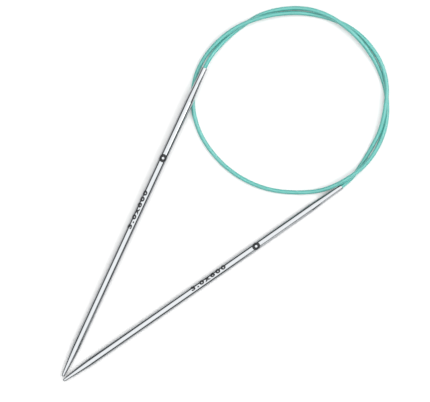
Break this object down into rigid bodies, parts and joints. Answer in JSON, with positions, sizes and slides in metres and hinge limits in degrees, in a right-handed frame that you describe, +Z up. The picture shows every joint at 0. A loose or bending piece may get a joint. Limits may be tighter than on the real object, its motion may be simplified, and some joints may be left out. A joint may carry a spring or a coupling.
{
  "type": "circular knitting needle",
  "caption": "Circular knitting needle: rigid polished steel tips joined by a glossy teal coated cord that lies in a loose loop and swivels in both tips.",
  "frame": {"origin": "on the surface the needle lies on, in the middle of the box round the rigid tips (cord left out)", "axes": "+Y along the narrow V of the tips, from the points towards the cord's loop; +Z up; +X to the right tip's side"},
  "size_m": [0.0712, 0.1656, 0.0046],
  "materials": {
    "polished_steel": "polished stainless steel",
    "crimped_brass": "plain crimped brass",
    "teal_nylon": "glossy extruded nylon",
    "steel_rope": "stranded stainless wire rope"
  },
  "bodies": {
    "cord": {"cord_jacket": "teal_nylon", "cord_rope": "steel_rope", "left_crimp_ferrule": "crimped_brass", "right_crimp_ferrule": "crimped_brass"},
    "left_tip": {"left_shank_tube": "polished_steel", "left_point": "polished_steel", "left_cord_collar": "polished_steel"},
    "right_tip": {"right_shank_tube": "polished_steel", "right_point": "polished_steel", "right_cord_collar": "polished_steel"}
  },
  "joints": [
    {"name": "left_swivel", "type": "hinge", "parent": "cord", "child": "left_tip", "pos_m": [-0.0327, 0.0597, 0.0033], "axis": [-0.2616, 0.965, 0.0163], "continuous": true},
    {"name": "right_swivel", "type": "hinge", "parent": "cord", "child": "right_tip", "pos_m": [0.0327, 0.0587, 0.0015], "axis": [0.2616, 0.9652, 0], "continuous": true}
  ]
}
